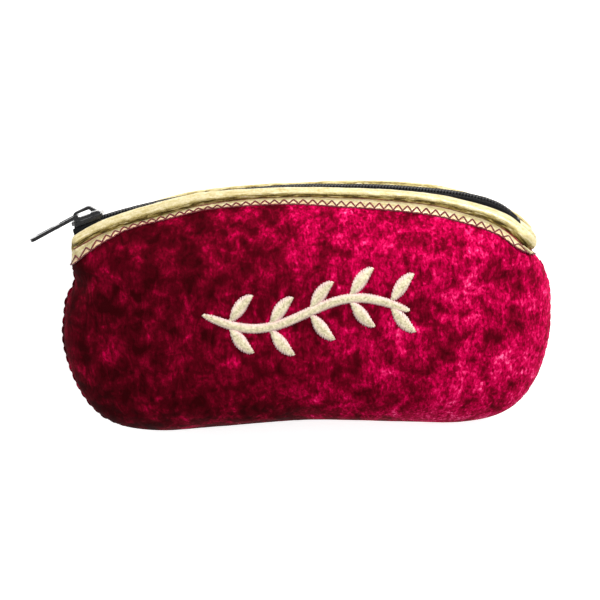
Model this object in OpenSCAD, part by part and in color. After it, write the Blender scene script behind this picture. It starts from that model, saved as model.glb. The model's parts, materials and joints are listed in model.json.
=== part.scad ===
// Soft zipped makeup bag, lying on its back panel.
// X runs along the bag, +Y points out of the zipped mouth, +Z points out of the front panel.
// The origin is the centre of the flat face that the bag lies on.

/* [Pouch] */
// Width of the pouch from side to side
pouch_w = 207.6; // [200:0.2:216]
// Distance from the origin down to the lowest point of the two bottom corners
pouch_drop = 51.3; // [48:0.1:54]
// Height of the side seam above the resting face
seam_z = 20; // [18:0.5:22]
// How far the front panel bulges above the side seam
front_depth = 26; // [22:0.5:30]
// How far the back panel would bulge below the side seam if it were not flattened
back_depth = 25; // [23:0.5:28]
// Thickness of the velvet
velvet_t = 1; // [0.8:0.1:1.4]
// Thickness of the foam padding
padding_t = 4; // [2.5:0.5:5]
// Thickness of the lining cloth
lining_t = 0.6; // [0.4:0.1:0.8]

/* [Mouth] */
// Radius of the arc that the zip chain follows
track_r = 300; // [292:1:312]
// Height of the top of that arc above the origin
track_top = 55.5; // [54:0.5:57]
// Distance from the chain to the middle of each piping roll, across the mouth
mouth_half = 10.4; // [10:0.1:11]
// Outer radius of the piping roll
piping_r = 3; // [2.6:0.1:3.1]
// Thickness of the leatherette
leatherette_t = 0.9; // [0.7:0.1:1]
// Number of zig-zag stitches along each trim band
zigzag_count = 42; // [30:1:50]

/* [Zip] */
// Angle of the closed slider, measured from the top of the arc
closed_angle = 17.7; // [17.2:0.1:17.8]
// Angle of the fully open slider on the other side of the arc
open_angle = 15.9; // [15.9:0.1:16.8]
// Radius of one coil of the chain
coil_r = 1; // [0.9:0.05:1.05]
// Thickness of the zip tape
tape_t = 0.6; // [0.4:0.05:0.6]

/* [Slider] */
// Length of the slider
slider_l = 13.8; // [13:0.1:14]
// Width of the slider across the tape
slider_w = 11; // [10:0.5:11.5]
// Length of the pull tab from its pivot to its tip
tab_l = 23; // [20:0.5:26]
// Width of the pull tab
tab_w = 5; // [4.6:0.2:6]

/* [Hidden] */
$fn = 48;

velvet_colour = "#a30034";
gold_colour = "#d9c68a";
thread_colour = "#4f0a14";
black_colour = "#1b1b1d";

// Clearances
half_gap = 0.15;      // each half of the pouch stays this far from the seam plane
layer_gap = 0.05;     // between velvet, padding and lining
cut_gap = 0.08;       // angle between the moving chain and its fixed ends, in degrees

// The arc of the chain
arc_centre = [0, track_top - track_r];
rim_r = track_r - 5.5;               // the velvet's edge along the mouth
rim_angle = 18.1;                    // where the mouth's edge turns into the side seam
piping_track_r = track_r - 2.2;
piping_angle = 18.9;
slider_half_angle = asin(slider_l / 2 / track_r);
tape_end_angle = closed_angle + slider_half_angle;
split_left = closed_angle - slider_half_angle - cut_gap;
split_right = open_angle - slider_half_angle - cut_gap;

// Outline of the side seam as fractions of half the width, of the drop and of the mouth's rise,
// from the bottom centre up the right side to the end of the mouth
pouch_middle = [0, 1];
bottom_notch = 0.943;
side_shape = [[0.37, -0.98, 0], [0.64, -1, 0], [0.82, -0.91, 0], [0.93, -0.66, 0],
    [0.99, -0.27, 0], [1, 0.08, 0], [0.977, 0.34, 0], [0.95, 0.53, 0.5]];
side_points = [for (p = side_shape) [p.x * pouch_w / 2, p.y * pouch_drop, p.z]];
rim_steps = 12;
mouth_points = [for (k = [0:rim_steps])
    let (a = rim_angle * (2 * k / rim_steps - 1))
    [rim_r * -sin(a), arc_centre.y + rim_r * cos(a), 1]];
control_points = concat([[0, -bottom_notch * pouch_drop, 0]], side_points, mouth_points,
    [for (i = [len(side_points) - 1:-1:0]) let (p = side_points[i]) [-p.x, p.y, p.z]]);

function catmull(a, b, c, d, u) =
    0.5 * (2 * b + (c - a) * u + (2 * a - 5 * b + 4 * c - d) * u * u
    + (3 * b - a - 3 * c + d) * u * u * u);
function smooth_loop(points, steps) =
    let (n = len(points))
    [for (i = [0:n - 1], s = [0:steps - 1])
        catmull(points[(i + n - 1) % n], points[i], points[(i + 1) % n], points[(i + 2) % n],
            s / steps)];
function loop_normal(loop, i) =
    let (n = len(loop), t = loop[(i + 1) % n] - loop[(i + n - 1) % n], l = norm([t.x, t.y]))
    [t.y / l, -t.x / l];

outline = smooth_loop(control_points, 2);
outline_n = len(outline);

// Height profile from the middle (rho 0) to the seam (rho 1), as a fraction of the depth
bulge_power = 3.2;
function bulge(rho) = sqrt(1 - pow(rho, bulge_power));
rhos = [1, 0.985, 0.94, 0.85, 0.68, 0.4];

// Height over the seam plane of a layer that lies d inside the velvet's outer surface
function layer_rise(depth, flat, mouth, rho, d) =
    half_gap + min(flat - half_gap - d,
        mouth * mouth_half + (depth - half_gap - d - mouth * mouth_half) * bulge(rho));

function layer_ring(side, depth, flat, rho, d) =
    [for (i = [0:outline_n - 1])
        let (p = outline[i], edge = [p.x, p.y] - d * loop_normal(outline, i),
            at = pouch_middle + (edge - pouch_middle) * rho)
        [at.x, at.y, seam_z + side * layer_rise(depth, flat, min(1, max(0, p.z)), rho, d)]];

function layer_points(side, depth, flat, d) =
    concat([for (rho = rhos) each layer_ring(side, depth, flat, rho, d)],
        [[pouch_middle.x, pouch_middle.y, seam_z + side * layer_rise(depth, flat, 0, 0, d)]]);

function quad(a, b, c, d) = [[a, b, c], [a, c, d]];
function flipped(faces) = [for (f = faces) [f[2], f[1], f[0]]];

// Faces of one domed surface whose first point is number base, seen from outside as clockwise
function dome_faces(base) =
    let (n = outline_n, k_last = len(rhos) - 1, tip = base + len(rhos) * n)
    concat(
        [for (k = [0:k_last - 1], i = [0:n - 1])
            let (a = base + k * n + i, b = base + k * n + (i + 1) % n)
            each quad(a, a + n, b + n, b)],
        [for (i = [0:n - 1]) [base + k_last * n + i, tip, base + k_last * n + (i + 1) % n]]);

function shell_faces() =
    let (n = outline_n, inner = len(rhos) * n + 1)
    concat(dome_faces(0), flipped(dome_faces(inner)),
        [for (i = [0:n - 1]) let (j = (i + 1) % n) each quad(i, j, inner + j, inner + i)]);

// One cloth or foam layer of a half pouch, from d_out to d_in inside the outer surface
module shell(side, depth, flat, d_out, d_in)
    polyhedron(
        points = concat(layer_points(side, depth, flat, d_out),
            layer_points(side, depth, flat, d_in)),
        faces = side > 0 ? shell_faces() : flipped(shell_faces()));

no_flat = 1000;
module front_shell(d_out, d_in) shell(1, front_depth, no_flat, d_out, d_in);
module back_shell(d_out, d_in) shell(-1, back_depth, seam_z, d_out, d_in);

padding_out = velvet_t + layer_gap;
padding_in = padding_out + padding_t;
lining_out = padding_in + layer_gap;
lining_in = lining_out + lining_t;

module front_panel() { color(velvet_colour) front_shell(0, velvet_t); }
module back_panel() { color(velvet_colour) back_shell(0, velvet_t); }
module front_padding() { color("white") front_shell(padding_out, padding_in); }
module back_padding() { color("white") back_shell(padding_out, padding_in); }
module front_lining() { color("#5a1020") front_shell(lining_out, lining_in); }
module back_lining() { color("#5a1020") back_shell(lining_out, lining_in); }

// A point of the domed surface along the mouth, at angle a on the arc
function mouth_point(side, depth, a, rho, d) =
    let (edge = arc_centre + (rim_r - d) * [-sin(a), cos(a)],
        at = pouch_middle + (edge - pouch_middle) * rho)
    [at.x, at.y, seam_z + side * layer_rise(depth, no_flat, 1, rho, d)];

// Closed sweep of equal sections, each a loop of points that turns clockwise
// when it is looked at along the path
module sweep(sections)
    let (n = len(sections[0]), m = len(sections))
    polyhedron(
        points = [for (s = sections) each s],
        faces = concat(
            [[for (i = [0:n - 1]) i]],
            [[for (i = [n - 1:-1:0]) (m - 1) * n + i]],
            [for (k = [0:m - 2], i = [0:n - 1])
                let (a = k * n + i, b = k * n + (i + 1) % n)
                each quad(a, a + n, b + n, b)]));

band_angle = 17.6;
band_steps = 24;
band_rhos = [0.99, 0.96, 0.93];
band_out = 0.3;
module trim_band(side, depth) {
    loop = concat([for (rho = band_rhos) [rho, -band_out]],
        [for (i = [2:-1:0]) [band_rhos[i], -band_out - leatherette_t]]);
    color(gold_colour)
        sweep([for (k = [0:band_steps])
            let (a = side * band_angle * (2 * k / band_steps - 1))
            [for (p = loop) mouth_point(side, depth, a, p[0], p[1])]]);
}
module front_trim_band() { trim_band(1, front_depth); }
module back_trim_band() { trim_band(-1, back_depth); }

// Zig-zag thread over the lower edge of the band: one straight stitch between each pair of
// needle holes, which are alternately on the velvet and on the band
zigzag_rhos = [0.918, 0.95];
zigzag_lift = 1.75;
zigzag_r = 0.3;
needle_gap = 0.65;    // a stitch starts and ends this far from the middle of its needle holes
module straight_stitch(from, to) {
    d = to - from;
    l = norm(d);
    translate(from + d * needle_gap / l)
        rotate([0, acos(d.z / l), atan2(d.y, d.x)])
            cylinder(h = l - 2 * needle_gap, r = zigzag_r, $fn = 6);
}
module zigzag_stitch(side, depth) {
    holes = [for (k = [0:2 * zigzag_count])
        mouth_point(side, depth, band_angle * (k / zigzag_count - 1), zigzag_rhos[k % 2],
            -zigzag_lift)];
    color(thread_colour)
        for (k = [1:2 * zigzag_count]) straight_stitch(holes[k - 1], holes[k]);
}
module front_zigzag_stitch() { zigzag_stitch(1, front_depth); }
module back_zigzag_stitch() { zigzag_stitch(-1, back_depth); }

// Ring segment about the centre of the chain's arc. The profile's x is the distance from the
// chain's line, outwards, and its y is the distance across the mouth from the chain's middle.
module on_arc(from_angle, to_angle)
    translate([arc_centre.x, arc_centre.y, seam_z])
        rotate([0, 0, 90 + from_angle])
            rotate_extrude(angle = to_angle - from_angle, $fn = 360)
                translate([track_r, 0]) children();

// Places children at an angle of the arc: x along the chain, y outwards, z across the mouth
module at_arc(a)
    translate([arc_centre.x, arc_centre.y, seam_z])
        rotate([0, 0, a]) translate([0, track_r, 0]) children();

piping_shift = piping_track_r - track_r;
module piping(side) {
    color(gold_colour)
        on_arc(-piping_angle, piping_angle) translate([piping_shift, side * mouth_half])
            difference() {
                circle(piping_r);
                circle(piping_r - leatherette_t);
            }
}
module front_piping() { piping(1); }
module back_piping() { piping(-1); }

module piping_cord(side) {
    color("ivory")
        on_arc(-piping_angle, piping_angle) translate([piping_shift, side * mouth_half])
            circle(piping_r - leatherette_t - layer_gap);
}
module front_piping_cord() { piping_cord(1); }
module back_piping_cord() { piping_cord(-1); }

// Thread in the groove between the piping and the band
module piping_seam(side) {
    color(thread_colour)
        on_arc(-band_angle, band_angle)
            translate([rim_r - track_r + 0.35, side * (mouth_half + 2.1)]) circle(0.35);
}
module front_piping_seam() { piping_seam(1); }
module back_piping_seam() { piping_seam(-1); }

// Cross-section of one side of the zip tape, which turns down behind the piping
tape_inner = 0.55;
tape_turn = mouth_half - piping_r - 0.2;
tape_flap = 4.5;
module tape_profile(side) {
    h = tape_t / 2;
    points = [[h, tape_inner], [h, tape_turn - 0.9], [h - 0.9, tape_turn],
        [-tape_flap, tape_turn], [-tape_flap, tape_turn - tape_t],
        [-h - 0.55, tape_turn - tape_t], [-h, tape_turn - tape_t - 0.55], [-h, tape_inner]];
    polygon([for (p = points) [p.x, side * p.y]]);
}
coil_offset = coil_r + 0.65;
module coil_profile(side) { translate([0, side * coil_offset]) circle(coil_r); }
module tape_with_room(side) {
    difference() {
        tape_profile(side);
        translate([0, side * coil_offset]) circle(coil_r + layer_gap);
        translate([0, side * coil_offset / 2]) square([2, coil_offset], center = true);
    }
}

coil_left_angle = closed_angle + 0.7;
coil_right_angle = open_angle + slider_half_angle + cut_gap;

module back_zipper_tape() {
    color(black_colour) on_arc(-tape_end_angle, tape_end_angle) tape_with_room(-1);
}
module back_coil() {
    color(black_colour) on_arc(-coil_right_angle, coil_left_angle) coil_profile(-1);
}
module front_zipper_tape() {
    color(black_colour) on_arc(-split_right, split_left) tape_with_room(1);
}
module front_coil() {
    color(black_colour) on_arc(-split_right, split_left) coil_profile(1);
}
module left_tape_end() {
    color(black_colour) on_arc(split_left + cut_gap, tape_end_angle) tape_with_room(1);
}
module right_tape_end() {
    color(black_colour) on_arc(-tape_end_angle, -split_right - cut_gap) tape_with_room(1);
}
module left_coil_end() {
    color(black_colour) on_arc(split_left + cut_gap, coil_left_angle) coil_profile(1);
}
module right_coil_end() {
    color(black_colour) on_arc(-coil_right_angle, -split_right - cut_gap) coil_profile(1);
}

// Small clips on the ends of the coils, inside the slider's throat when it is closed
stop_l = 1.8;
module top_stops() {
    color(black_colour)
        for (side = [-1, 1])
            at_arc(coil_left_angle + 0.05)
                translate([-stop_l / 2, 0, side * (tape_inner + 0.1 + coil_r)])
                    cube([stop_l, 2 * coil_r, 2 * coil_r], center = true);
}

// One block across both coils, which the slider meets when the bag is fully open
module bottom_stop() {
    color(black_colour)
        at_arc(-coil_right_angle - 0.05)
            translate([0, -coil_r, -coil_offset - coil_r])
                cube([2.6, 2 * coil_r, 2 * (coil_offset + coil_r)]);
}

// Leatherette tab folded over each end of the zip, between the two piping rolls
tab_half_w = 6.9;
module end_tab(a, direction) {
    color(gold_colour)
        at_arc(a) translate([direction > 0 ? 0.1 : -1.9, -tape_flap, -tab_half_w])
            difference() {
                cube([1.8, tape_flap + 1.2, 2 * tab_half_w]);
                translate([0.6, 1, -1]) cube([0.6, tape_flap - 1, 2 * tab_half_w + 2]);
            }
}
module left_end_tab() { end_tab(tape_end_angle, -1); }
module right_end_tab() { end_tab(-tape_end_angle, 1); }

// Overcast thread round the side seam, outside both velvet panels
stitch_pitch = 4.3;
stitch_out = [0.7, 1.2];
stitch_r = 0.35;
seam_line = [for (p = smooth_loop(control_points, 6)) if (p.z < 0.02) [p.x, p.y]];
// The loop starts at the bottom centre, so it is reordered from one end of the mouth to the other
seam_half = (len(seam_line) + 1) / 2;
seam_path = concat([for (i = [seam_half:len(seam_line) - 1]) seam_line[i]],
    [for (i = [0:seam_half - 1]) seam_line[i]]);
function path_lengths(path, i = 0, total = 0) =
    i == len(path) ? [] : let (here = total + (i == 0 ? 0 : norm(path[i] - path[i - 1])))
    concat([here], path_lengths(path, i + 1, here));
seam_lengths = path_lengths(seam_path);
seam_total = seam_lengths[len(seam_lengths) - 1];
function segment_at(s, i = 1) =
    i == len(seam_path) - 1 || seam_lengths[i] >= s ? i : segment_at(s, i + 1);
function seam_at(s, out) =
    let (i = segment_at(s), a = seam_path[i - 1], b = seam_path[i], t = (b - a) / norm(b - a))
    a + t * (s - seam_lengths[i - 1]) + out * [t.y, -t.x];
stitch_steps = 2 * floor(seam_total / stitch_pitch);
module perimeter_stitch() {
    color(velvet_colour)
        sweep([for (k = [0:stitch_steps])
            let (s = seam_total * k / stitch_steps, out = stitch_out[k % 2],
                near = seam_at(s, out - stitch_r), far = seam_at(s, out + stitch_r),
                mid = (near + far) / 2, z = seam_z)
            [[near.x, near.y, z], [mid.x, mid.y, z - stitch_r], [far.x, far.y, z],
                [mid.x, mid.y, z + stitch_r]]]);
}

// Satin-stitched sprig: a stem of round stitches with a leaf on each side of every joint
sprig_length = 84;
sprig_pairs = 5;
sprig_y = 6;
sprig_lift = 0.25;
sprig_t = 0.8;
// Share of the way from the middle to the outline, and the outline's own mouth share there
function outline_share(at) =
    let (v = at - pouch_middle)
    [for (i = [0:outline_n - 1])
        let (p = outline[i], q = outline[(i + 1) % outline_n],
            a = [p.x, p.y] - pouch_middle, b = [q.x, q.y] - pouch_middle,
            before = cross(a, v), after = cross(v, b), k = before / (before + after))
        if (before >= 0 && after > 0 && v * a > 0)
            [norm(v) / norm(a + k * (b - a)), p.z + k * (q.z - p.z)]][0];
bulge_table = [for (rho = concat(rhos, [0])) [rho, bulge(rho)]];
function front_rise(x, y) =
    let (share = outline_share([x, y]), h = share[1] * mouth_half)
    seam_z + half_gap + h + (front_depth - half_gap - h) * lookup(share[0], bulge_table);
module on_front(x, y) {
    step = 0.5;
    tilt_x = atan((front_rise(x, y + step) - front_rise(x, y - step)) / (2 * step));
    tilt_y = -atan((front_rise(x + step, y) - front_rise(x - step, y)) / (2 * step));
    translate([x, y, front_rise(x, y) + sprig_lift]) rotate([tilt_x, tilt_y, 0]) children();
}
function stem_y(x) = 6 * sin(x * 360 / sprig_length);
module leaf(length, width) {
    bow = (length * length / 4 + width * width / 4) / width;
    linear_extrude(sprig_t)
        intersection() {
            translate([length / 2, bow - width / 2]) circle(bow);
            translate([length / 2, width / 2 - bow]) circle(bow);
        }
}
module embroidered_sprig() {
    color("#e8dcc0") {
        for (k = [0:sprig_pairs - 1], side = [-1, 1]) {
            x = sprig_length * ((k + 0.6) / sprig_pairs - 0.5);
            on_front(x, sprig_y + stem_y(x) + side * 2.4) rotate([0, 0, side * 52]) leaf(13, 5);
        }
        for (k = [0:3 * sprig_pairs - 1]) {
            x = sprig_length * ((k + 0.2) / (3 * sprig_pairs) - 0.5);
            on_front(x, sprig_y + stem_y(x)) cylinder(h = sprig_t, r = 0.9);
        }
    }
}

// Slider, built where it stands when the bag is closed
channel_h = coil_r + 0.35;
channel_w = 2 * (coil_offset + coil_r + 0.35);
wing_t = 1.2;
wing_top = channel_h + wing_t;
slot_h = tape_t + 0.5;
flange_t = 1.2;
bridge_w = 2.2;
pivot = [-3.9, wing_top + 1.75];
pivot_r = 0.6;
window_r = 0.85;
module wing_shape() {
    tail = 1;
    h = slider_l / 2;
    w = slider_w / 2;
    polygon([[-h, -w + 1.5], [-h + 1.5, -w], [h - 3, -w + tail], [h, -w + tail + 1],
        [h, w - tail - 1], [h - 3, w - tail], [-h + 1.5, w], [-h, w - 1.5]]);
}
module bridge_shape() {
    difference() {
        hull() {
            translate([pivot.x + 0.2, pivot.y]) circle(1.9);
            translate([1.4, pivot.y + 0.3]) circle(2.2);
            translate([-5.9, channel_h + 0.2]) square([11.9, wing_t]);
        }
        hull() {
            translate(pivot) circle(window_r);
            translate([1.4, pivot.y + 0.1]) circle(window_r + 0.1);
        }
        // The hook's open end
        translate([1.4, pivot.y - 0.35]) rotate([0, 0, -6]) square([6, 0.4]);
    }
}
module slider_shape() {
    h = slider_l / 2;
    for (side = [-1, 1]) {
        rotate([90, 0, 0])
            translate([0, 0, side > 0 ? channel_h : -wing_top]) linear_extrude(wing_t) wing_shape();
        for (edge = [-1, 1], top = [0, 1])
            translate([-h + 0.8, top == 1 ? slot_h / 2 : -channel_h - 0.1,
                edge > 0 ? channel_w / 2 : -channel_w / 2 - flange_t])
                cube([slider_l - 1.6, channel_h + 0.1 - slot_h / 2, flange_t]);
    }
    translate([-h + 0.7, -channel_h - 0.1, -0.3]) cube([3, 2 * channel_h + 0.2, 0.6]);
    linear_extrude(bridge_w, center = true) bridge_shape();
}
module slider_body() { color(black_colour) at_arc(closed_angle) slider_shape(); }

// Pull tab, lying back over the end of the zip, with two legs astride the bridge
tab_dip = 9;
tab_t = 1.5;
leg_l = 8.6;
leg_gap = bridge_w + 0.6;
module tab_outline() {
    difference() {
        union() {
            translate([-leg_l - 2, -tab_w / 2]) square([leg_l + 2, tab_w]);
            hull() {
                translate([-leg_l, 0]) circle(tab_w / 2 - 0.4);
                translate([-tab_l + tab_w / 2 + 0.4, 0]) circle(tab_w / 2 + 0.4);
            }
        }
        translate([-leg_l, -leg_gap / 2]) square([leg_l + 1, leg_gap]);
        hull() {
            translate([-leg_l - 3.5, 0]) circle(0.9);
            translate([-tab_l + 4.5, 0]) circle(0.9);
        }
    }
}
module pull_tab() {
    color(black_colour)
        at_arc(closed_angle) translate([pivot.x, pivot.y, 0]) rotate([0, 0, tab_dip]) {
            rotate([90, 0, 0]) linear_extrude(tab_t, center = true) tab_outline();
            cylinder(h = tab_w, r = pivot_r, center = true);
        }
}

back_panel();
back_padding();
back_lining();
back_trim_band();
back_piping();
back_piping_cord();
back_piping_seam();
back_zigzag_stitch();
back_zipper_tape();
back_coil();
front_panel();
front_padding();
front_lining();
front_trim_band();
front_piping();
front_piping_cord();
front_piping_seam();
front_zigzag_stitch();
front_zipper_tape();
front_coil();
embroidered_sprig();
left_tape_end();
right_tape_end();
left_coil_end();
right_coil_end();
top_stops();
bottom_stop();
left_end_tab();
right_end_tab();
perimeter_stitch();
slider_body();
pull_tab();
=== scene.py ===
"""Zipped velvet makeup bag: the looks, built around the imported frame. Lengths are in millimetres
until a mesh is made. Angles along the mouth are in degrees, positive towards the closed end."""
import json
import math

import bmesh
import bpy
import numpy as np
from mathutils import Matrix, Vector
from mathutils.kdtree import KDTree


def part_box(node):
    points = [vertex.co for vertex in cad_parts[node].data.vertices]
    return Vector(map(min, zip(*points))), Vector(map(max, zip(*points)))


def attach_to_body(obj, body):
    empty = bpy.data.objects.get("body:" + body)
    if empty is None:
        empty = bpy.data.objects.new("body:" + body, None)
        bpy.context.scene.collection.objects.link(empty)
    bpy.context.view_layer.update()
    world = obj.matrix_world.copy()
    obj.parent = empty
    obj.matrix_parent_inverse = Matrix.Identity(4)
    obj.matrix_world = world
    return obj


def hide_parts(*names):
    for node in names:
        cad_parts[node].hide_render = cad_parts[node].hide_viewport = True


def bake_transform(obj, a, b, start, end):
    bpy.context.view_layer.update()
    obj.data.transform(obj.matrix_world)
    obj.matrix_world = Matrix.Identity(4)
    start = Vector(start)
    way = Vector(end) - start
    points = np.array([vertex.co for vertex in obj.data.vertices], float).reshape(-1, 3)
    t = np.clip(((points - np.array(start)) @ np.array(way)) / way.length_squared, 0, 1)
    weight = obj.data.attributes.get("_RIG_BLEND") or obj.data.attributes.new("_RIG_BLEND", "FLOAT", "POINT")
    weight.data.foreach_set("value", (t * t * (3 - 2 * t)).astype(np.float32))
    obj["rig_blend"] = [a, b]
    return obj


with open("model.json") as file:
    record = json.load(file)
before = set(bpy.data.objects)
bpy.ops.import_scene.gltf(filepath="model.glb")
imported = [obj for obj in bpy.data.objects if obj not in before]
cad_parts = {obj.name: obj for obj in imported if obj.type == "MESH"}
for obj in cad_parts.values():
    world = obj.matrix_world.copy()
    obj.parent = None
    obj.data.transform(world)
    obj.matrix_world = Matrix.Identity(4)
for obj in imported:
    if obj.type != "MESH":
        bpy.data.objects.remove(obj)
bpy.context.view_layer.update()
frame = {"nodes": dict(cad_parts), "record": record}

MM = 0.001

# ---------------- measures shared with the frame
joints = {j["name"]: j for j in frame["record"]["behaviour"]["joints"]}
ARC_X, ARC_Y, SEAM_Z = (v / MM for v in joints["slider_travel"]["pos_m"])
TRACK_R = 300.0  # the circle of the zip's chain
RIM_R = TRACK_R - 5.5  # the velvet's upper edge
RIM_ANGLE = 18.1
ROLL_R = TRACK_R - 2.2  # the middle of the rolls
MOUTH_HALF = 10.4  # from the seam plane to the middle of a roll
ROLL_THICK = 3.0  # radius of the back roll
POUCH_W, POUCH_DROP = 207.6, 51.3  # width, and depth below the middle
FRONT_DEPTH, BACK_DEPTH = 26.0, 25.0
HALF_GAP = 0.15
BULGE_POWER = 3.2  # how steeply the face rises from the side seam
FLAT_SOFT = 2.0  # how softly the face turns flat underneath
MIDDLE_Y = 1.0
BOTTOM_NOTCH = 0.943
# The right side, up from the bottom: shares of half the width and of the drop, then of the mouth
SIDE_SHAPE = [(0.37, -0.98, 0), (0.64, -1, 0), (0.82, -0.91, 0), (0.93, -0.66, 0),
              (0.99, -0.27, 0), (1, 0.08, 0), (0.977, 0.34, 0), (0.95, 0.53, 0.5)]
CLOSED_ANGLE, OPEN_ANGLE = 17.7, 15.9
STITCH_PITCH = 4.3
NAME = {1: "front", -1: "back"}  # the side of the seam plane that a piece is on

# ---------------- camera and light
VIEW_W = 258.6          # what the picture is wide, at the side seam
LENS, SENSOR = 120.0, 36.0
TILT = math.radians(14) # the camera leans over the mouth
TURN = math.radians(1.6)
AIM = (-2.6, 4.3)       # where the picture's middle is, from the middle of the bag


def camera():
    back = Vector((0, math.sin(TILT), math.cos(TILT)))
    right = Vector((1, 0, 0))
    up = back.cross(right)
    right, up = (math.cos(TURN) * right - math.sin(TURN) * up,
                 math.sin(TURN) * right + math.cos(TURN) * up)
    data = bpy.data.cameras.new("camera")
    data.lens, data.sensor_width = LENS, SENSOR
    data.clip_start, data.clip_end = 0.05, 20
    obj = bpy.data.objects.new("camera", data)
    bpy.context.collection.objects.link(obj)
    place = (Vector((0, 0, SEAM_Z)) + right * AIM[0] + up * AIM[1]
             + back * (LENS / SENSOR * VIEW_W)) * MM
    obj.matrix_world = Matrix.Translation(place) @ Matrix((right, up, back)).transposed().to_4x4()
    bpy.context.scene.camera = obj


def area_light(name, place, size, power):
    data = bpy.data.lights.new(name, "AREA")
    data.shape, data.size, data.energy = "DISK", size, power
    obj = bpy.data.objects.new(name, data)
    obj.location = place
    aim = Vector((0, 0, 0.02)) - Vector(place)
    obj.rotation_euler = aim.to_track_quat("-Z", "Y").to_euler()
    bpy.context.collection.objects.link(obj)


def fill_in(node, **values):
    """Sets a node's inputs. A _ in a name stands for a space."""
    for name, value in values.items():
        node.inputs[name.replace("_", " ")].default_value = value


def studio():
    world = bpy.data.worlds.new("studio")
    world.use_nodes = True
    tree = world.node_tree
    sky = tree.nodes["Background"]
    fill_in(sky, Strength=0.8)
    place = tree.nodes.new("ShaderNodeTexCoord")
    split = tree.nodes.new("ShaderNodeSeparateXYZ")
    tone = tree.nodes.new("ShaderNodeMapRange")
    fill_in(tone, From_Min=-0.7, From_Max=0.7, To_Min=0.25, To_Max=1.25)
    tree.links.new(place.outputs["Generated"], split.inputs["Vector"])
    tree.links.new(split.outputs["Y"], tone.inputs["Value"])
    tree.links.new(tone.outputs["Result"], sky.inputs["Color"])
    bpy.context.scene.world = world
    bpy.context.scene.view_settings.view_transform = "Standard"
    area_light("key", (0.5, 0.6, 0.8), 0.3, 11)
    area_light("fill", (-0.6, 0.1, 0.9), 0.7, 2.5)
    mesh = bpy.data.meshes.new("floor")
    reach = 4
    corners = [(-reach, -reach, 0), (reach, -reach, 0), (reach, reach, 0), (-reach, reach, 0)]
    mesh.from_pydata(corners, [], [(0, 1, 2, 3)])
    floor = bpy.data.objects.new("floor", mesh)
    bpy.context.collection.objects.link(floor)
    paper = bpy.data.materials.new("paper")
    paper.use_nodes = True
    fill_in(paper.node_tree.nodes["Principled BSDF"], Base_Color=(0.93, 0.93, 0.93, 1), Roughness=1,
            Emission_Color=(1, 1, 1, 1), Emission_Strength=0.55)
    mesh.materials.append(paper)


# ---------------- materials
def rgb(text):
    """A linear colour from a web colour."""
    parts = [int(text[i:i + 2], 16) / 255 for i in (1, 3, 5)]
    return tuple(p / 12.92 if p < 0.04045 else ((p + 0.055) / 1.055) ** 2.4 for p in parts) + (1,)


class Look:
    """A material under construction, with its coordinates taken from the resting mesh in mm."""

    def __init__(self, name, **numbers):
        self.material = bpy.data.materials.new(name)
        self.material.use_nodes = True
        self.tree = self.material.node_tree
        self.shader = self.tree.nodes["Principled BSDF"]
        fill_in(self.shader, **numbers)
        self.rest = self.kept("rest")

    def add(self, kind, **settings):
        node = self.tree.nodes.new("ShaderNode" + kind)
        for key, value in settings.items():
            setattr(node, key, value)
        return node

    def link(self, out, socket):
        self.tree.links.new(out, socket)

    def kept(self, name):
        """A vector that make() keeps on the mesh."""
        return self.add("Attribute", attribute_name=name).outputs["Vector"]

    def coords(self, scale=(1, 1, 1), name=None):
        mapping = self.add("Mapping")
        fill_in(mapping, Scale=scale)
        self.link(self.kept(name) if name else self.rest, mapping.inputs["Vector"])
        return mapping.outputs["Vector"]

    def part(self, vector, axis):
        split = self.add("SeparateXYZ")
        self.link(vector, split.inputs["Vector"])
        return split.outputs[axis]

    def noise(self, coords, scale, detail=2, roughness=0.5, distortion=0.0):
        node = self.add("TexNoise")
        self.link(coords, node.inputs["Vector"])
        fill_in(node, Scale=scale, Detail=detail, Roughness=roughness, Distortion=distortion)
        return node.outputs["Fac"]

    def math(self, operation, *values):
        node = self.add("Math", operation=operation)
        for socket, value in zip(node.inputs, values):
            if isinstance(value, (int, float)):
                socket.default_value = value
            else:
                self.link(value, socket)
        return node.outputs["Value"]

    def total(self, *terms, start=0.0):
        """start, plus each value times its weight."""
        for value, weight in terms:
            start = self.math("MULTIPLY_ADD", value, weight, start)
        return start

    def ramp(self, factor, stops):
        node = self.add("ValToRGB")
        elements = node.color_ramp.elements
        while len(elements) < len(stops):
            elements.new(0.5)
        for element, (place, colour) in zip(elements, stops):
            element.position = place
            element.color = rgb(colour) if isinstance(colour, str) else (colour,) * 3 + (1,)
        self.link(factor, node.inputs["Fac"])
        return node.outputs["Color"]

    def towards(self, base, colour, factor):
        """base, mixed with a web colour."""
        mix = self.add("Mix", data_type="RGBA")
        self.link(factor, mix.inputs["Factor"])
        self.link(base, mix.inputs["A"])
        fill_in(mix, B=rgb(colour))
        return mix.outputs["Result"]

    def colour(self, socket):
        self.link(socket, self.shader.inputs["Base Color"])

    def bump(self, height, distance, strength):
        node = self.add("Bump")
        fill_in(node, Distance=distance * MM, Strength=strength)
        self.link(height, node.inputs["Height"])
        self.link(node.outputs["Normal"], self.shader.inputs["Normal"])

    def wave(self, coords, scale, direction):
        node = self.add("TexWave", bands_direction=direction)
        fill_in(node, Scale=scale)
        self.link(coords, node.inputs["Vector"])
        return node.outputs["Fac"]


PAINTED_LIGHT_SLOPE, PAINTED_LIGHT_START = 0.0021, -0.035   # painted light: how the pile's colour brightens along X, dark at the left and bright at the right, and where that starts
PAINTED_LIGHT_RANGE = (-0.165, 0.1)


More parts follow.
